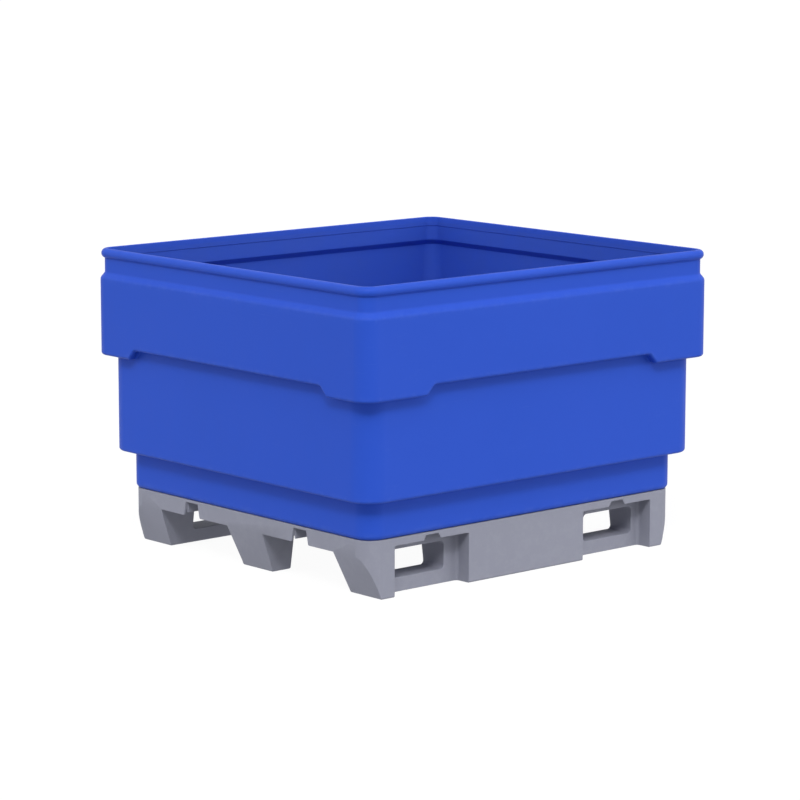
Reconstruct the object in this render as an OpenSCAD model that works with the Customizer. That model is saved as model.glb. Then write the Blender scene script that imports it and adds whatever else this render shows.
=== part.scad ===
// Combo bin: a stepped plastic tub bolted down on a four-way pallet base.
// Millimetres. Origin at the centre of the footprint on the ground, X along the long side, Z up.

/* [Overall] */
// Length over the upper band
bin_l = 1220; // [1160:10:1300]
// Width over the upper band
bin_w = 1110; // [1060:10:1200]
// Height from the ground to the top of the rim
bin_h = 798; // [760:1:900]

/* [Tub] */
// Wall thickness of the tub
wall = 7; // [5:0.5:9]
// Thickness of the tub floor
floor_t = 8; // [6:0.5:12]
// Radius where the inner walls meet the floor
floor_r = 12; // [6:1:20]
// Inset of the lower tier from the upper band
lower_inset = 62.5; // [56:0.5:66]
// Height of the lower tier
lower_h = 101.5; // [80:0.5:130]
// Corner radius of the lower tier
lower_r = 52; // [40:1:64]
// Radius of the lower tier's bottom edge
lower_edge_r = 10; // [4:1:14]
// Inset of the middle tier from the upper band
mid_inset = 27; // [22:1:40]
// Height of the middle tier
mid_h = 284.5; // [250:0.5:310]
// Corner radius of the middle tier
mid_r = 64; // [50:1:80]
// Corner radius of the upper band
band_r = 48; // [40:1:60]
// Radius of the bottom edges of the middle tier and the upper band
edge_r = 8; // [3:1:10]
// How far the corner skirts hang below the upper band
skirt_drop = 26; // [15:1:40]
// Half length of the raised edge between two corner skirts
raise_half = 382; // [300:2:400]
// Run of the slanted end of a corner skirt
raise_slant = 23; // [10:1:35]
// Radius at the top of the slanted end of a corner skirt
raise_r = 20; // [5:1:30]

/* [Rim] */
// Radius of the round outside of the rim bead
rim_r = 12; // [10:0.5:16]
// Inset of the rim bead's outermost line from the upper band
rim_inset = 3; // [0:0.5:6]
// How far the flat inner face of the rim bead stands in from the neck's inner face
bead_step = 1.5; // [1:0.5:4]
// Inset of the neck under the rim bead
neck_inset = 12; // [9:0.5:16]
// Height of the neck between the flare and the rim bead
neck_h = 40; // [25:1:60]
// Height of the flare that joins the neck to the upper band
flare_h = 14; // [8:1:24]

/* [Pallet base] */
// Height of the pallet base
base_h = 152; // [145:1:170]
// Inset of the pallet base from the upper band
base_inset = 66.5; // [66:0.5:76]
// Corner radius of the pallet base
base_r = 50; // [35:1:60]
// Thickness of the deck plate
deck_t = 7.5; // [5:0.5:8]
// Thickness of the skirt, foot and skid walls
shell_t = 7; // [5:0.5:8]
// Thickness of the closed bottoms of the feet
foot_floor_t = 8; // [5:0.5:12]
// Height of the fork opening under the end skirts
foot_z = 107.5; // [95:0.5:108]
// Height of the underside of the side skirts
side_skirt_z = 131; // [122:1:136]
// How far the end faces of the feet lean in at the ground
foot_rake = 45; // [10:1:60]
// Radius of the bottom edges of the feet, blocks and skids
foot_edge_r = 5; // [2:0.5:8]
// Radius where a side skirt meets a foot or a side block
lip_r = 4; // [3:1:12]
// Depth of the under-deck ribs
rib_h = 30; // [20:1:34]
// Thickness of the under-deck ribs
rib_t = 5; // [3:0.5:8]

/* [Side skids] */
// Width of a side skid at the deck
skid_w = 134; // [115:1:145]
// Draft of a skid's inner face, from the fork opening's top to the ground
skid_draft = 16; // [4:1:24]
// Length of a corner foot on the long side
foot_l = 88.5; // [70:0.5:100]
// Length of the side blocks and the centre block
block_l = 408; // [370:2:430]
// Depth of the recess between a foot and a side block
recess_d = 46; // [30:1:52]
// Radius of the recess's inner corners
recess_r = 9; // [5:1:20]
// Length of a fork window
window_l = 180; // [130:1:185]
// Offset of a fork window from the middle of its recess towards the corner foot
window_off = 10; // [0:0.5:12]
// Height of a fork window
window_h = 73; // [60:1:75]
// Height of the window sill
sill_h = 37; // [25:1:38]
// Corner radius of a fork window
window_r = 12; // [4:1:20]

/* [Middle row] */
// Width of the middle feet and the centre block at the deck
row_w = 146; // [110:1:170]
// Draft of the middle row's sides, from the fork opening's top to the ground
row_draft = 13; // [4:1:20]
// Length of a middle foot at the deck
row_foot_l = 108; // [90:1:135]
// Draft of a middle foot's inner end
row_end_draft = 4; // [2:1:20]

/* [Strap notches] */
// Width of a side notch at its top
side_notch_w = 42; // [30:1:50]
// Width of an end notch at its top
end_notch_w = 50; // [36:1:60]
// Spread of a notch's slanted ends
notch_spread = 8; // [2:0.5:10]
// Radius where a notch's ends meet the lower edge of its skirt
notch_r = 4; // [1:0.5:6]
// Offset of an end notch outwards from the middle of its fork tunnel
end_notch_off = 9; // [0:1:20]

/* [Fasteners] */
// Nominal radius of the base bolts
bolt_r = 5; // [4:0.5:6]
// Width across the flats of a bolt head
bolt_flats = 17; // [13:1:19]
// Height of a bolt head
bolt_head_h = 6; // [4:0.5:7]
// Radius of a washer
washer_r = 11; // [10:0.5:13]
// Thickness of a washer
washer_t = 2; // [1:0.5:3]
// Radius of a bolt boss under the tub floor
boss_r = 16; // [14:0.5:18]
// Length of a bolt boss
boss_h = 25; // [23:1:26]
// Length of a threaded insert
insert_h = 18; // [12:1:20]
// Wall thickness of a threaded insert
insert_t = 2.5; // [1.5:0.5:4]
// Clearance of a bolt boss in its socket
boss_clear = 0.5; // [0.3:0.1:1]
// Clearance of a bolt in its hole
hole_clear = 0.5; // [0.3:0.1:1]
// Clearance of a bolt in its threaded insert
thread_clear = 0.1; // [0.05:0.05:0.3]

/* [Hidden] */
$fn = 64;
// Overlap of shapes that are joined, and of cuts past the faces that they open
over = 1;

// Levels of the tub, from the ground
mid_z = base_h + lower_h;
band_z = mid_z + mid_h;
skirt_z = band_z - skirt_drop;
rim_z = bin_h - rim_r;
neck_z = rim_z - rim_r - neck_h;
flare_z = neck_z - flare_h;
// Level change of the flare's inner face, which keeps its wall as thick as the others
flare_drop = wall * (norm([neck_inset, flare_h]) - flare_h) / neck_inset;
// Facets of a round corner in a drawn section
arc_steps = 6;

// Plan of the pallet base
base_l = bin_l - 2 * base_inset;
base_w = bin_w - 2 * base_inset;
deck_z = base_h - deck_t;
rib_z = deck_z - rib_h;
foot_x = base_l / 2 - foot_l;
block_x = block_l / 2;
pocket_l = foot_x - block_x;
pocket_x = (foot_x + block_x) / 2;
skid_y = base_w / 2 - skid_w;
recess_y = base_w / 2 - recess_d;
row_y = row_w / 2;
row_foot_x = base_l / 2 - row_foot_l;
end_notch_y = (skid_y + row_y) / 2 + end_notch_off;

// Bolts stand in the bays between the strap channels, the skids and the middle row
bolt_places = [
    [(block_x + pocket_x - side_notch_w / 2) / 2, (end_notch_y + end_notch_w / 2 + skid_y) / 2],
    [(pocket_x + side_notch_w / 2 + row_foot_x) / 2, (row_y + end_notch_y - end_notch_w / 2) / 2]
];
insert_r = bolt_r + thread_clear + insert_t;
boss_z = base_h - boss_h;
socket_r = boss_r + boss_clear;
socket_z = boss_z - boss_clear - shell_t;
washer_z = socket_z - washer_t;
head_z = washer_z - bolt_head_h;
wrench_r = washer_r + shell_t;

// Rib lines under the deck, one list along each side
rib_xs = [
    0,
    block_x / 2,
    block_x,
    pocket_x - (side_notch_w + rib_t) / 2,
    pocket_x + (side_notch_w + rib_t) / 2,
    row_foot_x,
    (row_foot_x + base_l / 2) / 2
];
rib_ys = [
    0,
    row_y,
    end_notch_y - (end_notch_w + rib_t) / 2,
    end_notch_y + (end_notch_w + rib_t) / 2
];

// Places its children at the four corners, so that they are c from both faces
module corners(l, w, c) {
    for (sx = [-1, 1], sy = [-1, 1])
        translate([sx * (l / 2 - c), sy * (w / 2 - c), 0])
            children();
}

// Repeats its children in the four quarters of the plan
module quarters() {
    for (mx = [0, 1], my = [0, 1])
        mirror([mx, 0, 0])
            mirror([0, my, 0])
                children();
}

// Turns a half section through the four round corners of a plan
module round_corners(l, w, r) {
    quarters()
        translate([l / 2 - r, w / 2 - r, 0])
            rotate_extrude(angle = 90)
                children();
}

// Extrudes a profile drawn in Y and Z along X
module along_x(len) {
    rotate([90, 0, 90])
        translate([0, 0, -len / 2])
            linear_extrude(len)
                children();
}

// Extrudes a profile drawn in X and Z along Y
module along_y(len) {
    rotate([90, 0, 0])
        translate([0, 0, -len / 2])
            linear_extrude(len)
                children();
}

// Extrudes a plan from level z0 to level z1
module between(z0, z1) {
    translate([0, 0, z0])
        linear_extrude(z1 - z0)
            children();
}

// Rectangle with round corners, centred
module rounded_rect(l, w, r) {
    square([l - 2 * r, w], center = true);
    square([l, w - 2 * r], center = true);
    corners(l, w, r)
        circle(r);
}

// Section of a slab with round bottom edges, standing on the level zero
module slab_section(w, h, edge) {
    translate([-w / 2, edge])
        square([w, h - edge]);
    translate([edge - w / 2, 0])
        square([w - 2 * edge, h]);
    for (s = [-1, 1])
        translate([s * (w / 2 - edge), edge])
            circle(edge);
}

// Half section of a round corner with the same bottom edge
module corner_section(r, h, edge) {
    translate([0, edge])
        square([r, h - edge]);
    square([r - edge, h]);
    translate([r - edge, edge])
        circle(edge);
}

// One tier of the tub: a rounded slab whose bottom edge is round too
module tier(inset, r, z0, z1, edge) {
    l = bin_l - 2 * inset;
    w = bin_w - 2 * inset;
    translate([0, 0, z0]) {
        along_x(l - 2 * r)
            slab_section(w, z1 - z0, edge);
        along_y(w - 2 * r)
            slab_section(l, z1 - z0, edge);
        round_corners(l, w, r)
            corner_section(r, z1 - z0, edge);
    }
}

// Plan of the tub at a given inset from the upper band
module tub_plan(inset, r) {
    rounded_rect(bin_l - 2 * inset, bin_w - 2 * inset, r);
}

// Section of the flare: a slab that narrows upwards by the neck's inset
module flare_section(w) {
    polygon([
        [-w / 2, 0],
        [w / 2, 0],
        [w / 2 - neck_inset, flare_h],
        [neck_inset - w / 2, flare_h]
    ]);
}

// The flare between the upper band and the neck
module flare(inset, r, z0) {
    l = bin_l - 2 * inset;
    w = bin_w - 2 * inset;
    translate([0, 0, z0]) {
        along_x(l - 2 * r)
            flare_section(w);
        along_y(w - 2 * r)
            flare_section(l);
        round_corners(l, w, r)
            polygon([[0, 0], [r, 0], [r - neck_inset, flare_h], [0, flare_h]]);
    }
}

// Points of the arc with radius r that rounds the corner b between a and c
function corner_arc(a, b, c, r) =
    let (
        u = (a - b) / norm(a - b),
        v = (c - b) / norm(c - b),
        half = acos(u * v) / 2,
        centre = b + (u + v) / norm(u + v) * r / sin(half),
        first = b + u * r / tan(half) - centre,
        last = b + v * r / tan(half) - centre,
        start = atan2(first[1], first[0]),
        turn = sign(cross(first, last)) * acos(first * last / r ^ 2)
    )
    [
        for (i = [0:arc_steps])
            let (angle = start + turn * i / arc_steps)
                centre + r * [cos(angle), sin(angle)]
    ];

// Half length of the raised edge at level z, with its faces moved out by grow
function raise_at(z, grow) =
    let (run = raise_slant / skirt_drop)
    raise_half + run * (band_z - z) + grow * norm([1, run]);

// Air under the raised edge of the upper band, as seen from a side
module raise_section(grow) {
    top_z = band_z + grow;
    low_z = skirt_z - over;
    low_x = raise_at(low_z, grow);
    top_x = raise_at(top_z, grow);
    polygon(concat(
        [[-low_x, low_z]],
        corner_arc([-low_x, low_z], [-top_x, top_z], [top_x, top_z], raise_r + grow),
        corner_arc([-top_x, top_z], [top_x, top_z], [low_x, low_z], raise_r + grow),
        [[low_x, low_z]]
    ));
}

// Corner skirts that hang below the upper band, in the ring outside the middle tier
module corner_skirts(inset, r, z0, z1, edge, grow) {
    difference() {
        tier(inset, r, z0, z1, edge);
        along_y(bin_w + 2 * over)
            raise_section(grow);
        along_x(bin_l + 2 * over)
            raise_section(grow);
    }
}

// Outer shape of the tub below the rim bead
module tub_outside() {
    tier(lower_inset, lower_r, base_h, mid_z + edge_r + over, lower_edge_r);
    tier(mid_inset, mid_r, mid_z, band_z + edge_r + over, edge_r);
    tier(0, band_r, band_z, flare_z, edge_r);
    corner_skirts(0, band_r, skirt_z, band_z + edge_r + over, edge_r, 0);
    flare(0, band_r, flare_z);
    between(neck_z, rim_z)
        tub_plan(neck_inset, band_r - neck_inset);
}

// Hollow of the tub, which follows the outside one wall further in
module tub_inside() {
    tier(lower_inset + wall, lower_r - wall, base_h + floor_t, mid_z + wall + over, floor_r);
    between(mid_z + wall, band_z + wall + over)
        tub_plan(mid_inset + wall, mid_r - wall);
    difference() {
        between(skirt_z + wall, band_z + wall + over)
            tub_plan(wall, band_r - wall);
        along_y(bin_w)
            raise_section(wall);
        along_x(bin_l)
            raise_section(wall);
    }
    between(band_z + wall, flare_z - flare_drop)
        tub_plan(wall, band_r - wall);
    flare(wall, band_r - wall, flare_z - flare_drop);
    between(neck_z - flare_drop, bin_h + over)
        tub_plan(neck_inset + wall, band_r - neck_inset - wall);
}

// Round bar that runs round the tub at the height of the rim
module rim_bar() {
    inset = rim_inset + rim_r;
    l = bin_l - 2 * inset;
    w = bin_w - 2 * inset;
    r = band_r - inset;
    translate([0, 0, rim_z]) {
        for (s = [-1, 1]) {
            translate([0, s * w / 2, 0])
                rotate([0, 90, 0])
                    cylinder(h = l - 2 * r, r = rim_r, center = true);
            translate([s * l / 2, 0, 0])
                rotate([90, 0, 0])
                    cylinder(h = w - 2 * r, r = rim_r, center = true);
        }
        round_corners(l, w, r)
            translate([r, 0])
                circle(rim_r);
    }
}

// Rim bead along the top of the neck, round outside and flat inside
module rim_bead() {
    face = neck_inset + wall + bead_step;
    difference() {
        rim_bar();
        between(neck_z, bin_h + over)
            tub_plan(face, band_r - face);
    }
}

// Repeats its children at every bolt
module at_bolts() {
    quarters()
        for (place = bolt_places)
            translate([place[0], place[1], 0])
                children();
}

module tub() {
    color("royalblue")
        difference() {
            union() {
                difference() {
                    tub_outside();
                    tub_inside();
                }
                rim_bead();
                at_bolts()
                    translate([0, 0, boss_z])
                        cylinder(h = boss_h + over, r = boss_r);
            }
            at_bolts()
                translate([0, 0, boss_z - over])
                    cylinder(h = insert_h + over, r = insert_r);
        }
}

// Plan of the pallet base with its faces moved in by inset
module base_plan(inset) {
    rounded_rect(base_l - 2 * inset, base_w - 2 * inset, base_r - inset);
}

// Space between the raked end faces, moved in by inset and carried past the deck
module raked_section(inset) {
    run = foot_rake / foot_z;
    low_x = base_l / 2 - foot_rake - inset * norm([1, run]);
    top_x = low_x + run * (base_h + over);
    top_z = base_h + over;
    polygon(concat(
        [[-top_x, top_z]],
        corner_arc([-top_x, top_z], [-low_x, 0], [low_x, 0], foot_edge_r),
        corner_arc([-low_x, 0], [low_x, 0], [top_x, top_z], foot_edge_r),
        [[top_x, top_z]]
    ));
}

// Section of the side skid at +Y, with its inner face moved out by inset
module skid_section(inset) {
    knee = [skid_y + inset, foot_z];
    inner = [skid_y + skid_draft + inset, 0];
    outer = [base_w / 2, 0];
    top_z = base_h + over;
    polygon(concat(
        [knee],
        corner_arc(knee, inner, outer, foot_edge_r),
        corner_arc(inner, outer, [base_w / 2, top_z], foot_edge_r),
        [[base_w / 2, top_z], [skid_y + inset, top_z]]
    ));
}

// Section of the middle row across X, with its faces moved in by inset
module row_section(inset) {
    half = row_y - inset;
    low = half - row_draft;
    top_z = base_h + over;
    polygon(concat(
        [[-half, foot_z]],
        corner_arc([-half, foot_z], [-low, 0], [low, 0], foot_edge_r),
        corner_arc([-low, 0], [low, 0], [half, foot_z], foot_edge_r),
        [[half, foot_z], [half, top_z], [-half, top_z]]
    ));
}

// Section of the middle foot at +X across Y, with its inner end moved out by inset
module row_foot_section(inset) {
    knee = [row_foot_x + inset, foot_z];
    inner = [row_foot_x + row_end_draft + inset, 0];
    outer = [base_l / 2 + over, 0];
    top_z = base_h + over;
    polygon(concat(
        [knee],
        corner_arc(knee, inner, outer, foot_edge_r),
        [outer, [base_l / 2 + over, top_z], [row_foot_x + inset, top_z]]
    ));
}

// Blocks, feet and skids with their faces moved in by inset, from level z0 to level z1
module supports(inset, z0, z1) {
    intersection() {
        between(z0, z1)
            base_plan(inset);
        along_y(base_w)
            raked_section(inset);
        union() {
            for (m = [0, 1])
                mirror([0, m, 0])
                    along_x(base_l)
                        skid_section(inset);
            intersection() {
                along_x(base_l)
                    row_section(inset);
                union() {
                    for (m = [0, 1])
                        mirror([m, 0, 0])
                            along_y(row_w)
                                row_foot_section(inset);
                    between(0, base_h + over)
                        square([block_l - 2 * inset, row_w], center = true);
                }
            }
        }
    }
}

// Fork windows through both skids, with their faces moved out by grow
module fork_windows(grow) {
    along_y(base_w + 2 * over)
        for (s = [-1, 1])
            translate([s * (pocket_x + window_off), sill_h + window_h / 2])
                rounded_rect(window_l + 2 * grow, window_h + 2 * grow, window_r + grow);
}

// Plan of the recesses in the long sides, with their faces moved out by grow
module recess_plan(grow) {
    depth = 3 * (recess_d + grow);
    quarters()
        translate([pocket_x, recess_y - grow + depth / 2])
            rounded_rect(pocket_l + 2 * grow, depth, recess_r + grow);
}

// Recesses under the side skirts, open outwards, and the hollow behind each skirt
module recesses() {
    intersection() {
        between(-over, side_skirt_z)
            recess_plan(0);
        along_y(2 * base_w)
            for (s = [-1, 1])
                translate([s * pocket_x, 0])
                    rounded_rect(pocket_l, 2 * side_skirt_z, lip_r);
    }
    between(-over, deck_z)
        intersection() {
            recess_plan(0);
            square([base_l, base_w - 2 * shell_t], center = true);
        }
}

// Hollows of the feet, blocks and skids, open under the tub floor
module support_hollows() {
    difference() {
        supports(shell_t, foot_floor_t, base_h + over);
        between(-over, base_h + 2 * over)
            recess_plan(shell_t);
        fork_windows(shell_t);
    }
}

// Section of a strap notch that widens downwards from the deck to level z
module notch_section(w, z) {
    top = [w / 2, deck_z];
    low = [w / 2 + notch_spread, z];
    edge = [w / 2 + 3 * notch_spread, z];
    right = corner_arc(top, low, edge, notch_r);
    last = right[len(right) - 1];
    half = concat([top], right, [[last[0], z - over]]);
    for (m = [0, 1])
        mirror([m, 0])
            polygon(concat([[-over, z - over], [-over, deck_z]], half));
}

// Notches for straps in the four skirts
module strap_notches() {
    for (sx = [-1, 1], sy = [-1, 1]) {
        translate([0, sy * (base_w - shell_t) / 2, 0])
            along_y(shell_t + 2 * over)
                translate([sx * pocket_x, 0])
                    notch_section(side_notch_w, side_skirt_z);
        translate([sx * (base_l - shell_t) / 2, 0, 0])
            along_x(shell_t + 2 * over)
                translate([sy * end_notch_y, 0])
                    notch_section(end_notch_w, foot_z);
    }
}

// Ribs under the deck, with channels kept open for straps both ways
module deck_ribs() {
    between(rib_z, deck_z + over)
        difference() {
            intersection() {
                base_plan(shell_t - over);
                union() {
                    for (x = rib_xs, s = [-1, 1])
                        translate([s * x, 0])
                            square([rib_t, base_w], center = true);
                    for (y = rib_ys, s = [-1, 1])
                        translate([0, s * y])
                            square([base_l, rib_t], center = true);
                }
            }
            for (s = [-1, 1]) {
                translate([s * pocket_x, 0])
                    square([side_notch_w, base_w], center = true);
                translate([0, s * end_notch_y])
                    square([base_l - 2 * shell_t, end_notch_w], center = true);
            }
        }
}

module pallet_base() {
    color([0.58, 0.59, 0.65])
        difference() {
            union() {
                difference() {
                    between(foot_z, base_h)
                        base_plan(0);
                    between(foot_z - over, deck_z)
                        base_plan(shell_t);
                }
                difference() {
                    deck_ribs();
                    at_bolts()
                        translate([0, 0, rib_z - over])
                            cylinder(h = socket_z - rib_z + over, r = wrench_r);
                }
                supports(0, 0, base_h);
                at_bolts()
                    translate([0, 0, socket_z])
                        cylinder(h = deck_z - socket_z + over, r = socket_r + shell_t);
            }
            support_hollows();
            fork_windows(0);
            recesses();
            strap_notches();
            at_bolts()
                translate([0, 0, socket_z + shell_t])
                    cylinder(h = base_h, r = socket_r);
            at_bolts()
                cylinder(h = base_h, r = bolt_r + hole_clear);
        }
}

module base_bolts() {
    color("silver")
        at_bolts()
            translate([0, 0, head_z]) {
                cylinder(h = bolt_head_h, r = bolt_flats / sqrt(3), $fn = 6);
                cylinder(h = boss_z + insert_h - head_z - over, r = bolt_r);
            }
}

module bolt_washers() {
    color("gainsboro")
        at_bolts()
            translate([0, 0, washer_z])
                difference() {
                    cylinder(h = washer_t, r = washer_r);
                    translate([0, 0, -over])
                        cylinder(h = washer_t + 2 * over, r = bolt_r + hole_clear);
                }
}

module threaded_inserts() {
    color("goldenrod")
        at_bolts()
            translate([0, 0, boss_z])
                difference() {
                    cylinder(h = insert_h, r = insert_r);
                    translate([0, 0, -over])
                        cylinder(h = insert_h + 2 * over, r = bolt_r + thread_clear);
                }
}

tub();
pallet_base();
base_bolts();
bolt_washers();
threaded_inserts();
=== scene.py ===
import math

import bmesh
import bpy
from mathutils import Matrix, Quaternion, Vector
from mathutils.bvhtree import BVHTree
from mathutils.kdtree import KDTree


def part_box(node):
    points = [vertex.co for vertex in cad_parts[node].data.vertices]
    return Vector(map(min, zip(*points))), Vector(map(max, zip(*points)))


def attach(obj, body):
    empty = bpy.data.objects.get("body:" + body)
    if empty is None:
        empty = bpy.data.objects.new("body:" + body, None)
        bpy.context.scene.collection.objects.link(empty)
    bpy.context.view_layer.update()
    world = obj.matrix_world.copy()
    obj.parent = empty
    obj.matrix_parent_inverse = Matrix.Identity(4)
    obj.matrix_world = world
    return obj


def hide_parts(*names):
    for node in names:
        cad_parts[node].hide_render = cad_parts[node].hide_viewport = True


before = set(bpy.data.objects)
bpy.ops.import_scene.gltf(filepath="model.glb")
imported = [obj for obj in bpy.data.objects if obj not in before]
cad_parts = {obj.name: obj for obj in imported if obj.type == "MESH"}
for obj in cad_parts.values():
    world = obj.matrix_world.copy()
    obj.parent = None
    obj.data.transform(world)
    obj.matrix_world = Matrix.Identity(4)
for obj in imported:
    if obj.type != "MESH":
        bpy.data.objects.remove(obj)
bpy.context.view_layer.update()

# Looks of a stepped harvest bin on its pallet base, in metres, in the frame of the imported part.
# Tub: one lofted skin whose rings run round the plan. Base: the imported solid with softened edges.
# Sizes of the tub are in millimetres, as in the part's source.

MM = 0.001
WELD = 0.01 * MM
TUB_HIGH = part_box("tub")[1]
HALF_X, HALF_Y = TUB_HIGH.x, TUB_HIGH.y

# Scene helpers


def add_object(name, mesh):
    """Links a new object that rides on the part's one body."""
    piece = bpy.data.objects.new(name, mesh)
    bpy.context.scene.collection.objects.link(piece)
    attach(piece, "root")
    return piece


def smooth(mesh):
    for face in mesh.polygons:
        face.use_smooth = True


# The tub's skin

# Levels from the ground, insets from the upper band, and radii of the corners and of the rim bead
WALL = 7
BASE_H, FLOOR_Z, MID_Z, BAND_Z, FLARE_Z, NECK_Z, RIM_Z = 152, 160, 253.5, 538, 720, 734, 785
LOWER_INSET, MID_INSET, NECK_INSET, RIM_INSET = 62.5, 27, 12, 3
LOWER_R, MID_R, BAND_R, RIM_R = 52, 64, 48, 13
FLARE_DROP = 2.6
BEAD_STEP, BEAD_ARC_STEPS = 1.5, 24

# Slanted ends of the corner skirts: drop, run, half length of the raised edge, radii at top and bottom
DROP, SLANT, RAISE_HALF = 26, 23, 382
OUTER_RADII, INNER_RADII = (20, 6), (27, 4)
TOP_STEPS, LOW_STEPS = 6, 4

# Facets of a plan corner, plain ring beside a rounding, and the discs that close the skin
ARC_STEPS = 16
GUARD = 9
DISC_INSET, DISC_R = 100, 18
FLOOR_DISC_INSET, FLOOR_DISC_R = 110, 8


def drop_stations(grow, top_r, low_r):
    """Stations (along, drop) from a raised edge down to the corner skirt, one wall further with grow."""
    slope = math.atan2(DROP, SLANT)
    run = SLANT / DROP
    top = RAISE_HALF - run * grow + grow * math.hypot(1, run)
    low = top + run * DROP
    cut_top = top_r * math.tan(slope / 2)
    cut_low = low_r * math.tan(slope / 2)
    stations = []
    for step in range(TOP_STEPS + 1):
        angle = slope * step / TOP_STEPS
        stations.append((top - cut_top + top_r * math.sin(angle), top_r * (1 - math.cos(angle))))
    for step in range(LOW_STEPS + 1):
        angle = slope * (1 - step / LOW_STEPS)
        stations.append((low + cut_low - low_r * math.sin(angle), DROP - low_r * (1 - math.cos(angle))))
    return stations


OUTER = drop_stations(0, *OUTER_RADII)
INNER = drop_stations(WALL, *INNER_RADII)
PLAIN = [0, 60, 120, 180, 240, 300, 345]


def side_stations(share):
    """Stations on one half side; share blends from the outer skin's (0) to the inner skin's (1)."""
    blend = [
        ((1 - share) * a[0] + share * b[0], (1 - share) * a[1] + share * b[1])
        for a, b in zip(OUTER, INNER)
    ]
    return [(u, 0.0) for u in PLAIN] + blend


def ring_points(inset, radius, level, follow, share):
    """One closed ring at an inset from the upper band, in millimetres."""
    half = side_stations(share)
    side = [(-u, d) for u, d in reversed(half[1:])] + half
    points = []
    for quarter in range(4):
        along_x = quarter % 2 == 0
        half_len = (HALF_X if along_x else HALF_Y) / MM - inset
        half_out = (HALF_Y if along_x else HALF_X) / MM - inset
        angle = quarter * math.pi / 2
        ca, sa = round(math.cos(angle)), round(math.sin(angle))

        def put(u, v, drop):
            points.append((u * ca - v * sa, u * sa + v * ca, level - follow * drop))

        for u, drop in side:
            put(u, -half_out, drop)
        cx, cy = half_len - radius, -half_out + radius
        for step in range(ARC_STEPS + 1):
            turn = -math.pi / 2 + math.pi / 2 * step / ARC_STEPS
            put(cx + radius * math.cos(turn), cy + radius * math.sin(turn), DROP)
    return points


def knee(inset, level, radius=BAND_R, fillet=0.0, follow=0, share=0, worn=0.0, steps=5, inner=0.0):
    return dict(inset=inset, level=level, radius=radius, fillet=fillet, follow=follow,
                share=share, worn=worn, steps=steps, inner=inner)


def bead_knees():
    """The rim bead as a chain of knees, round from the neck's outside over the top, then flat inside."""
    middle, neck, face = RIM_INSET + RIM_R, NECK_INSET + WALL, NECK_INSET + WALL + BEAD_STEP
    first = math.asin((middle - NECK_INSET) / RIM_R)
    last = math.pi + math.asin((face - middle) / RIM_R)
    chain = []
    for step in range(BEAD_ARC_STEPS + 1):
        angle = first + (last - first) * step / BEAD_ARC_STEPS
        inset = middle - RIM_R * math.sin(angle)
        level = RIM_Z - RIM_R * math.cos(angle)
        chain.append(knee(inset, level, BAND_R - inset, worn=max(0.0, -math.cos(angle)) * 0.5))
    chain[-1].update(fillet=2.2, inner=0.5)
    for inset, fillet in ((face, 0.5), (neck, 0.4)):
        level = RIM_Z - math.sqrt(RIM_R ** 2 - (inset - middle) ** 2)
        chain.append(knee(inset, level, BAND_R - inset, fillet=fillet, inner=1.0, steps=3))
    return chain


KNEES = [
    knee(DISC_INSET, BASE_H, DISC_R),
    knee(LOWER_INSET, BASE_H, LOWER_R, fillet=13, worn=1.0, steps=6),
    knee(LOWER_INSET, MID_Z, LOWER_R, fillet=3),
    knee(MID_INSET, MID_Z, MID_R, fillet=8, worn=0.8, steps=6),
    knee(MID_INSET, BAND_Z, MID_R, fillet=3, follow=1),
    knee(0, BAND_Z, BAND_R, fillet=8, follow=1, worn=1.0, steps=6),
    knee(0, FLARE_Z, BAND_R, fillet=14, worn=0.6),
    knee(NECK_INSET, NECK_Z, BAND_R - NECK_INSET, fillet=10),
] + bead_knees() + [
    knee(NECK_INSET + WALL, NECK_Z - FLARE_DROP, BAND_R - NECK_INSET - WALL, fillet=5, inner=1.0),
    knee(WALL, FLARE_Z - FLARE_DROP, BAND_R - WALL, fillet=5, inner=1.0),
    knee(WALL, BAND_Z + WALL, BAND_R - WALL, fillet=4, follow=1, share=1, inner=1.0),
    knee(MID_INSET + WALL, BAND_Z + WALL, MID_R - WALL, fillet=4, follow=1, share=1, worn=0.6, inner=1.0),
    knee(MID_INSET + WALL, MID_Z + WALL, MID_R - WALL, fillet=4, inner=1.0),
    knee(LOWER_INSET + WALL, MID_Z + WALL, LOWER_R - WALL, fillet=4, worn=0.6, inner=1.0),
    knee(LOWER_INSET + WALL, FLOOR_Z, LOWER_R - WALL, fillet=12, steps=6, inner=1.0),
    knee(FLOOR_DISC_INSET, FLOOR_Z, FLOOR_DISC_R, inner=1.0),
]


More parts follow.
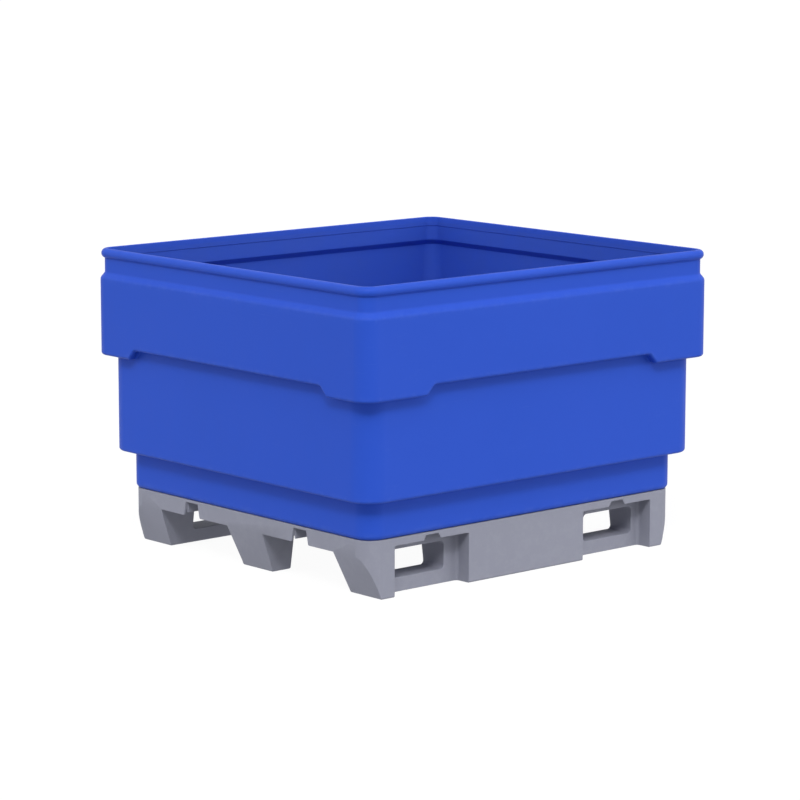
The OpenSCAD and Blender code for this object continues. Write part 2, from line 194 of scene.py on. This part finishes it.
def rounded(knees):
    """Rings of a chain of knees, with each knee's fillet as an arc and a plain ring on either side."""
    rings = []
    for i, k in enumerate(knees):
        here = Vector((k["inset"], k["level"]))
        if not k["fillet"]:
            rings.append(dict(k))
            continue
        before = Vector((knees[i - 1]["inset"], knees[i - 1]["level"])) - here
        after = Vector((knees[i + 1]["inset"], knees[i + 1]["level"])) - here
        u, v = before.normalized(), after.normalized()
        half = u.angle(v) / 2
        cut = k["fillet"] / math.tan(half)
        centre = here + (u + v).normalized() * k["fillet"] / math.sin(half)
        a, b = here + u * cut - centre, here + v * cut - centre
        turn = math.pi - 2 * half
        sign = 1 if a.x * b.y - a.y * b.x > 0 else -1
        arc = []
        for step in range(k["steps"] + 1):
            angle = sign * turn * step / k["steps"]
            spot = centre + Vector((a.x * math.cos(angle) - a.y * math.sin(angle),
                                    a.x * math.sin(angle) + a.y * math.cos(angle)))
            arc.append(spot)
        chain = []
        if before.length > cut + 2 * GUARD:
            chain.append((here + u * (cut + GUARD), 0.0))
        chain += [(spot, k["worn"]) for spot in arc]
        if after.length > cut + 2 * GUARD:
            chain.append((here + v * (cut + GUARD), 0.0))
        for spot, worn in chain:
            ring = dict(k, inset=spot.x, level=spot.y, worn=worn,
                        radius=k["radius"] - (spot.x - k["inset"]))
            rings.append(ring)
    return rings


def build_tub():
    rings = rounded(KNEES)
    verts, worn, inner = [], [], []
    for ring in rings:
        points = ring_points(ring["inset"], max(ring["radius"], 1), ring["level"],
                             ring["follow"], ring["share"])
        verts += [(x * MM, y * MM, z * MM) for x, y, z in points]
        worn += [ring["worn"]] * len(points)
        inner += [ring["inner"]] * len(points)
    count = len(verts) // len(rings)
    faces = [tuple(reversed(range(count)))]
    for r in range(len(rings) - 1):
        low, high = r * count, (r + 1) * count
        for c in range(count):
            n = (c + 1) % count
            faces.append((low + c, low + n, high + n, high + c))
    last = (len(rings) - 1) * count
    faces.append(tuple(last + c for c in range(count)))
    mesh = bpy.data.meshes.new("bin_tub")
    mesh.from_pydata(verts, [], faces)
    for name, values in (("worn", worn), ("inner", inner)):
        mesh.attributes.new(name, "FLOAT", "POINT").data.foreach_set("value", values)
    smooth(mesh)
    mesh.validate()
    tub = add_object("bin_tub", mesh)
    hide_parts("tub")
    weighted = tub.modifiers.new("weighted", "WEIGHTED_NORMAL")
    weighted.keep_sharp = True
    return tub


tub = build_tub()

# Bolt bosses under the tub floor, each around a packed insert

BOSS_R, BORE_R, BOSS_SOFT = 16, 7.6, 1.2
BOSS_LOW, BOSS_HIGH, BORE_TOP = 127, 153, 145
BOSS_STEPS, SOFT_STEPS = 48, 6


def insert_places():
    """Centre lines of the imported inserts, one for each loose piece of their mesh."""
    skin = bmesh.new()
    skin.from_mesh(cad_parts["threaded_inserts"].data)
    bmesh.ops.remove_doubles(skin, verts=skin.verts, dist=WELD)
    left = set(skin.verts)
    places = []
    while left:
        group = [left.pop()]
        for vert in group:
            for edge in vert.link_edges:
                other = edge.other_vert(vert)
                if other in left:
                    left.remove(other)
                    group.append(other)
        xs = [vert.co.x for vert in group]
        ys = [vert.co.y for vert in group]
        places.append(((min(xs) + max(xs)) / 2, (min(ys) + max(ys)) / 2))
    skin.free()
    return sorted(places)


def build_bosses():
    """One turned boss with a rounded mouth at each insert."""
    profile = [(BORE_R, BORE_TOP)]
    for step in range(SOFT_STEPS + 1):
        angle = math.pi / 2 * step / SOFT_STEPS
        profile.append((BORE_R + BOSS_SOFT * (1 - math.cos(angle)),
                        BOSS_LOW + BOSS_SOFT * (1 - math.sin(angle))))
    for step in range(SOFT_STEPS + 1):
        angle = math.pi / 2 * step / SOFT_STEPS
        profile.append((BOSS_R - BOSS_SOFT * (1 - math.sin(angle)),
                        BOSS_LOW + BOSS_SOFT * (1 - math.cos(angle))))
    profile.append((BOSS_R, BOSS_HIGH))
    verts, faces = [], []
    for x, y in insert_places():
        first = len(verts)
        for r, z in profile:
            for step in range(BOSS_STEPS):
                angle = 2 * math.pi * step / BOSS_STEPS
                verts.append((x + r * MM * math.cos(angle), y + r * MM * math.sin(angle), z * MM))
        for ring in range(len(profile) - 1):
            low = first + ring * BOSS_STEPS
            high = low + BOSS_STEPS
            for step in range(BOSS_STEPS):
                n = (step + 1) % BOSS_STEPS
                faces.append((low + step, low + n, high + n, high + step))
        faces.append(tuple(first + step for step in reversed(range(BOSS_STEPS))))
        last = len(verts) - BOSS_STEPS
        faces.append(tuple(last + step for step in range(BOSS_STEPS)))
    mesh = bpy.data.meshes.new("bin_bosses")
    mesh.from_pydata(verts, [], faces)
    smooth(mesh)
    bosses = add_object("bin_bosses", mesh)
    weighted = bosses.modifiers.new("weighted", "WEIGHTED_NORMAL")
    weighted.keep_sharp = True
    return bosses


bosses = build_bosses()

# The pallet base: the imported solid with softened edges

EDGE_ANGLE = math.radians(28)
FLAT_ANGLE = math.radians(0.6)
SHARP_ANGLE = math.radians(50)
EDGE_SOFT = 1.6 * MM
FOLD_REACH = 2.5 * MM
FOLD_AREA = 0.2 * MM * MM
FOLD_DEPTH = 2.2 * MM
FOLD_NEAR = 0.6 * MM
FOLD_TURN = -0.05
PROBE_STEP = 4 * MM


def packed_skin():
    """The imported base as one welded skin, with its flat triangles joined in pairs."""
    skin = bmesh.new()
    skin.from_mesh(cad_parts["pallet_base"].data)
    bmesh.ops.remove_doubles(skin, verts=skin.verts, dist=WELD)
    bmesh.ops.join_triangles(skin, faces=skin.faces, angle_face_threshold=FLAT_ANGLE,
                             angle_shape_threshold=math.pi)
    skin.verts.layers.float.new("worn")
    skin.normal_update()
    skin.edges.index_update()
    return skin


def bevelled(solid, chosen):
    """A copy of the solid with the chosen edges rounded, and the vertices that the rounding made."""
    skin = solid.copy()
    skin.edges.ensure_lookup_table()
    edges = [skin.edges[index] for index in sorted(chosen)]
    made = bmesh.ops.bevel(skin, geom=edges, offset=EDGE_SOFT, offset_type="OFFSET", segments=2,
                           profile=0.5, affect="EDGES", clamp_overlap=False)
    skin.normal_update()
    return skin, made["verts"]


def folded_spots(skin, tree):
    """Points of faces that the rounding has turned inside out or pushed off the solid."""
    spots = []
    for face in skin.faces:
        if face.calc_area() < FOLD_AREA:
            continue
        centre = face.calc_center_median()
        distance = tree.find_nearest(centre)[3]
        near = tree.find_nearest_range(centre, distance + FOLD_NEAR)
        if distance > FOLD_DEPTH or max(hit[1].dot(face.normal) for hit in near) < FOLD_TURN:
            spots.append(centre)
            spots += [vert.co.copy() for vert in face.verts]
    return spots


def edge_probes(solid, chosen):
    """Points along the chosen edges with the edge that each belongs to, as a search tree."""
    solid.edges.ensure_lookup_table()
    probes, owners = [], []
    for index in sorted(chosen):
        a, b = (vert.co for vert in solid.edges[index].verts)
        count = int((b - a).length / PROBE_STEP) + 2
        for step in range(count):
            probes.append(a.lerp(b, step / (count - 1)))
            owners.append(index)
    search = KDTree(len(probes))
    for i, probe in enumerate(probes):
        search.insert(probe, i)
    search.balance()
    return search, owners


def build_base():
    """Rounds the outward edges, and leaves an edge sharp where its rounding would fold a narrow face."""
    solid = packed_skin()
    tree = BVHTree.FromBMesh(solid)
    chosen = {edge.index for edge in solid.edges
              if edge.is_convex and edge.calc_face_angle(0) > EDGE_ANGLE}
    search, owners = edge_probes(solid, chosen)
    while True:
        skin, rounded_verts = bevelled(solid, chosen)
        tight = set()
        for spot in folded_spots(skin, tree):
            tight |= {owners[hit[1]] for hit in search.find_range(spot, FOLD_REACH)}
        if not tight & chosen:
            break
        chosen -= tight
        skin.free()
    worn = skin.verts.layers.float["worn"]
    for vert in rounded_verts:
        vert[worn] = 1.0
    for edge in skin.edges:
        edge.smooth = edge.calc_face_angle(0) < SHARP_ANGLE
    mesh = bpy.data.meshes.new("bin_base")
    skin.to_mesh(mesh)
    skin.free()
    solid.free()
    smooth(mesh)
    base = add_object("bin_base", mesh)
    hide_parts("pallet_base")
    weighted = base.modifiers.new("weighted", "WEIGHTED_NORMAL")
    weighted.keep_sharp = True
    return base


base = build_base()

# Materials

# The least share is the smallest share of the greyer painted shade on the inside faces
PALE_SHARE, RUB_SHARE, SCRATCH_SHARE, EDGE_SHARE, INNER_SHADE_LEAST = 0.35, 0.05, 0.05, 0.07, 0.8
CLOUD_DULL, RUB_DULL, PLASTIC_SHINE = 0.06, 0.12, 0.15


def new_material(name):
    material = bpy.data.materials.new(name)
    material.use_nodes = True
    tree = material.node_tree
    shader = tree.nodes["Principled BSDF"]
    return material, tree, shader


def node(tree, kind, **settings):
    """A new node with its inputs and properties set by name; spaces in an input's name are underscores."""
    made = tree.nodes.new(kind)
    for name, value in settings.items():
        plain = name.replace("_", " ")
        if plain in made.inputs:
            made.inputs[plain].default_value = value
        else:
            setattr(made, name, value)
    return made


def srgb(*values):
    """A colour written as it shows on a screen, as the linear colour that the shader takes."""
    shares = (value / 255 for value in values)
    linear = (c / 12.92 if c <= 0.04045 else ((c + 0.055) / 1.055) ** 2.4 for c in shares)
    return tuple(linear) + (1.0,)


def noise(tree, where, scale, detail=2.0, roughness=0.5, stretch=None):
    """Noise in the object's own space, with scale in cells to the metre and a stretch for each axis."""
    if stretch:
        turned = node(tree, "ShaderNodeMapping")
        turned.inputs["Scale"].default_value = stretch
        tree.links.new(where, turned.inputs["Vector"])
        where = turned.outputs["Vector"]
    made = node(tree, "ShaderNodeTexNoise", Scale=scale, Detail=detail, Roughness=roughness)
    tree.links.new(where, made.inputs["Vector"])
    return made.outputs["Fac"]


def span(tree, value, low, high, to_low=0.0, to_high=1.0, kind="SMOOTHSTEP"):
    made = node(tree, "ShaderNodeMapRange", interpolation_type=kind)
    tree.links.new(value, made.inputs["Value"])
    for name, number in (("From Min", low), ("From Max", high), ("To Min", to_low), ("To Max", to_high)):
        made.inputs[name].default_value = number
    return made.outputs["Result"]


def sums(tree, kind, first, second):
    made = node(tree, "ShaderNodeMath", operation=kind)
    for socket, value in zip(made.inputs, (first, second)):
        if isinstance(value, (int, float)):
            socket.default_value = value
        else:
            tree.links.new(value, socket)
    return made.outputs["Value"]


def tint(tree, amount, first, second):
    """Blends two colours, each a socket or a plain colour, by an amount."""
    made = node(tree, "ShaderNodeMix", data_type="RGBA")
    tree.links.new(amount, made.inputs["Factor"])
    for name, colour in ((6, first), (7, second)):
        if isinstance(colour, tuple):
            made.inputs[name].default_value = colour
        else:
            tree.links.new(colour, made.inputs[name])
    return made.outputs[2]


def bump(tree, height, distance, strength, below=None):
    made = node(tree, "ShaderNodeBump", Strength=strength, Distance=distance)
    tree.links.new(height, made.inputs["Height"])
    if below is not None:
        tree.links.new(below, made.inputs["Normal"])
    return made.outputs["Normal"]


def moulded_plastic(name, deep, plain, pale, worn_colour, rough, grain_scale, inner_shade_colour=None):
    """Moulded polyethylene: mottle, grain, faint rubs and scratches, pale worn edges, and a greyer painted
    shade on the inside faces.
    """
    material, tree, shader = new_material(name)
    where = node(tree, "ShaderNodeTexCoord").outputs["Object"]
    attribute = node(tree, "ShaderNodeAttribute", attribute_name="worn")

    mottle = span(tree, noise(tree, where, 2.6, 4, 0.55), 0.3, 0.7)
    cloud = span(tree, noise(tree, where, 14, 5, 0.6), 0.3, 0.7)
    colour = tint(tree, mottle, deep, plain)
    colour = tint(tree, sums(tree, "MULTIPLY", cloud, PALE_SHARE), colour, pale)
    # Painted shade: the inside faces take a greyer tone that stands in for how light falls inside the tub,
    # a little uneven with the cloud
    if inner_shade_colour:
        inner = node(tree, "ShaderNodeAttribute", attribute_name="inner").outputs["Fac"]
        dull_film_and_inner_shade = sums(tree, "MULTIPLY", inner, span(tree, cloud, 0, 1, INNER_SHADE_LEAST, 1))
        colour = tint(tree, dull_film_and_inner_shade, colour, inner_shade_colour)

    rub = span(tree, noise(tree, where, 5.5, 6, 0.62, (1, 1, 2.2)), 0.56, 0.72)
    fine = span(tree, noise(tree, where, 60, 8, 0.7, (1, 1, 2.5)), 0.42, 0.66)
    rub = sums(tree, "MULTIPLY", rub, fine)
    colour = tint(tree, sums(tree, "MULTIPLY", rub, RUB_SHARE), colour, worn_colour)

    scratch = span(tree, noise(tree, where, 9, 3, 0.6, (1, 1, 34)), 0.66, 0.72)
    strip = span(tree, noise(tree, where, 3.1, 2, 0.5), 0.5, 0.62)
    scratch = sums(tree, "MULTIPLY", scratch, strip)
    colour = tint(tree, sums(tree, "MULTIPLY", scratch, SCRATCH_SHARE), colour, worn_colour)

    chip = span(tree, noise(tree, where, 38, 6, 0.68), 0.42, 0.66)
    edge = sums(tree, "MULTIPLY", attribute.outputs["Fac"], chip)
    colour = tint(tree, sums(tree, "MULTIPLY", edge, EDGE_SHARE), colour, worn_colour)
    tree.links.new(colour, shader.inputs["Base Color"])

    gloss = sums(tree, "ADD", sums(tree, "MULTIPLY", cloud, CLOUD_DULL), rough)
    gloss = sums(tree, "ADD", gloss, sums(tree, "MULTIPLY", rub, RUB_DULL))
    tree.links.new(gloss, shader.inputs["Roughness"])

    wave = bump(tree, noise(tree, where, 7, 2, 0.5), 1.0 * MM, 0.08)
    grain = bump(tree, noise(tree, where, grain_scale, 3, 0.6), 0.2 * MM, 0.25, wave)
    cuts = bump(tree, sums(tree, "ADD", scratch, sums(tree, "MULTIPLY", rub, 0.6)), 0.15 * MM, 0.25, grain)
    tree.links.new(cuts, shader.inputs["Normal"])
    shader.inputs["Specular IOR Level"].default_value = PLASTIC_SHINE
    return material


def metal(name, dark, light, rough):
    """Bare metal with fine turning marks and duller, paler patches in places."""
    material, tree, shader = new_material(name)
    where = node(tree, "ShaderNodeTexCoord").outputs["Object"]
    dull_film_and_inner_shade = span(tree, noise(tree, where, 120, 5, 0.6), 0.3, 0.7)
    tree.links.new(tint(tree, dull_film_and_inner_shade, dark, light), shader.inputs["Base Color"])
    marks = noise(tree, where, 900, 2, 0.5, (1, 1, 6))
    gloss = sums(tree, "ADD", sums(tree, "MULTIPLY", dull_film_and_inner_shade, 0.12), rough)
    tree.links.new(gloss, shader.inputs["Roughness"])
    tree.links.new(bump(tree, marks, 0.05 * MM, 0.3), shader.inputs["Normal"])
    shader.inputs["Metallic"].default_value = 1.0
    return material


def dress(piece, material):
    piece.data.materials.clear()
    piece.data.materials.append(material)


# The blue's last colour is the painted shade of the inside faces
BLUE = moulded_plastic("tub_blue", srgb(40, 81, 197), srgb(42, 82, 199), srgb(43, 84, 201),
                       srgb(118, 146, 222), 0.46, 620, srgb(52, 84, 185))
GREY = moulded_plastic("base_grey", srgb(144, 146, 161), srgb(146, 148, 163), srgb(148, 150, 165),
                       srgb(186, 188, 197), 0.55, 420)
STEEL = metal("bolt_steel", srgb(150, 152, 156), srgb(196, 198, 202), 0.3)
BRASS = metal("insert_brass", srgb(168, 132, 66), srgb(205, 168, 92), 0.32)
dress(tub, BLUE)
dress(bosses, BLUE)
dress(base, GREY)
dress(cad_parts["base_bolts"], STEEL)
dress(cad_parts["bolt_washers"], STEEL)
dress(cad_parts["threaded_inserts"], BRASS)

# Camera at the photograph's place

CAMERA_AT, AIM, ROLL = (-5.6501, -6.3829, 1.8118), (0, 0, 0.3888), 0.0015
SENSOR, LENS, SHIFT_X, SHIFT_Y = 36, 144.99, -0.00259, 0.00016
NEAREST, FARTHEST = 0.1, 200

camera_data = bpy.data.cameras.new("camera")
camera = bpy.data.objects.new("camera", camera_data)
bpy.context.scene.collection.objects.link(camera)
camera.location = CAMERA_AT
camera.rotation_mode = "QUATERNION"
look = (Vector(AIM) - camera.location).to_track_quat("-Z", "Y")
camera.rotation_quaternion = look @ Quaternion((0, 0, 1), ROLL)
camera_data.sensor_width = SENSOR
camera_data.lens = LENS
camera_data.shift_x, camera_data.shift_y = SHIFT_X, SHIFT_Y
camera_data.clip_start, camera_data.clip_end = NEAREST, FARTHEST
bpy.context.scene.camera = camera

# Light: a studio dome in four soft quarters, and a small key lamp from the front.
# Each quarter has its turn in degrees and its strengths at five heights, from the horizon to the top.

DOME = {
    -135: (0.758, 0, 0, 4.412, 0),
    135: (0, 2.468, 0.753, 0.681, 0),
    -45: (1.031, 3.051, 0, 2.204, 0),
    45: (0.5, 0, 0, 0, 0),
}
DOME_TOP = 6.0
KEY_TURN, KEY_RISE, KEY_WIDTH, KEY_POWER = -135, 42, 10, 0.81
KEY_AWAY = 6


def seen_rays(tree):
    """1 for the rays that show the backdrop: camera, glossy and transmission rays."""
    path = tree.nodes.new("ShaderNodeLightPath")
    seen = sums(tree, "MAXIMUM", path.outputs["Is Camera Ray"], path.outputs["Is Glossy Ray"])
    return sums(tree, "MAXIMUM", seen, path.outputs["Is Transmission Ray"])


def dome_quarter(tree, upright, level, turn, strengths):
    """Light of one quarter: strengths at five even heights, fading with the turn away from its middle."""
    made = node(tree, "ShaderNodeValToRGB")
    ramp = made.color_ramp
    while len(ramp.elements) < len(strengths):
        ramp.elements.new(0.5)
    for i, strength in enumerate(strengths):
        ramp.elements[i].position = i / (len(strengths) - 1)
        ramp.elements[i].color = (strength / DOME_TOP,) * 3 + (1.0,)
    tree.links.new(upright, made.inputs["Fac"])
    middle = (math.cos(math.radians(turn)), math.sin(math.radians(turn)), 0)
    towards = node(tree, "ShaderNodeVectorMath", operation="DOT_PRODUCT")
    towards.inputs[1].default_value = middle
    tree.links.new(level, towards.inputs[0])
    fade = sums(tree, "POWER", sums(tree, "MAXIMUM", towards.outputs["Value"], 0.0), 2.0)
    return sums(tree, "MULTIPLY", sums(tree, "MULTIPLY", made.outputs["Color"], fade), DOME_TOP)


def build_world():
    world = bpy.data.worlds.new("studio")
    world.use_nodes = True
    bpy.context.scene.world = world
    tree = world.node_tree
    tree.nodes.clear()
    direction = node(tree, "ShaderNodeTexCoord").outputs["Generated"]
    split = node(tree, "ShaderNodeSeparateXYZ")
    tree.links.new(direction, split.inputs[0])
    flat = node(tree, "ShaderNodeVectorMath", operation="MULTIPLY")
    flat.inputs[1].default_value = (1, 1, 0)
    tree.links.new(direction, flat.inputs[0])
    level = node(tree, "ShaderNodeVectorMath", operation="NORMALIZE")
    tree.links.new(flat.outputs[0], level.inputs[0])
    total = 0.0
    for turn, strengths in DOME.items():
        quarter = dome_quarter(tree, split.outputs["Z"], level.outputs[0], turn, strengths)
        total = sums(tree, "ADD", quarter, total)
    dome = node(tree, "ShaderNodeBackground", Color=(1, 1, 1, 1))
    tree.links.new(total, dome.inputs["Strength"])
    white = node(tree, "ShaderNodeBackground", Color=(1, 1, 1, 1), Strength=1.0)
    mix = node(tree, "ShaderNodeMixShader")
    tree.links.new(seen_rays(tree), mix.inputs[0])
    tree.links.new(dome.outputs[0], mix.inputs[1])
    tree.links.new(white.outputs[0], mix.inputs[2])
    tree.links.new(mix.outputs[0], node(tree, "ShaderNodeOutputWorld").inputs[0])


def build_key():
    turn, rise = math.radians(KEY_TURN), math.radians(KEY_RISE)
    data = bpy.data.lights.new("key_lamp", "SUN")
    data.energy = KEY_POWER
    data.angle = math.radians(KEY_WIDTH)
    key = bpy.data.objects.new("key_lamp", data)
    bpy.context.scene.collection.objects.link(key)
    towards = Vector((math.cos(turn) * math.cos(rise), math.sin(turn) * math.cos(rise), math.sin(rise)))
    key.location = towards * KEY_AWAY
    key.rotation_mode = "QUATERNION"
    key.rotation_quaternion = (-towards).to_track_quat("-Z", "Y")


build_world()
build_key()

# Floor: white with a faint shadow where it is seen, and a dim even glow where it lights the bin

FLOOR_SIZE = 120
FLOOR_LIGHT, FLOOR_ALBEDO = 0.446, 0.01
FLOOR_GLOW, FLOOR_SHADE = 0.955, 0.07


def build_floor():
    bpy.ops.mesh.primitive_plane_add(size=FLOOR_SIZE, location=(0, 0, 0))
    floor = bpy.context.object
    floor.name = "floor"
    material, tree, shader = new_material("floor")
    shader.inputs["Base Color"].default_value = (FLOOR_ALBEDO,) * 3 + (1.0,)
    shader.inputs["Roughness"].default_value = 1.0
    shader.inputs["Specular IOR Level"].default_value = 0.0
    shader.inputs["Emission Color"].default_value = (1, 1, 1, 1)
    shader.inputs["Emission Strength"].default_value = FLOOR_LIGHT
    glow = node(tree, "ShaderNodeEmission", Color=(1, 1, 1, 1), Strength=FLOOR_GLOW)
    shade = node(tree, "ShaderNodeBsdfDiffuse", Color=(FLOOR_SHADE,) * 3 + (1.0,))
    shown = node(tree, "ShaderNodeAddShader")
    tree.links.new(glow.outputs[0], shown.inputs[0])
    tree.links.new(shade.outputs[0], shown.inputs[1])
    mix = node(tree, "ShaderNodeMixShader")
    tree.links.new(seen_rays(tree), mix.inputs[0])
    tree.links.new(shader.outputs[0], mix.inputs[1])
    tree.links.new(shown.outputs[0], mix.inputs[2])
    tree.links.new(mix.outputs[0], tree.nodes["Material Output"].inputs["Surface"])
    floor.data.materials.append(material)


build_floor()

bpy.context.scene.view_settings.view_transform = "Standard"
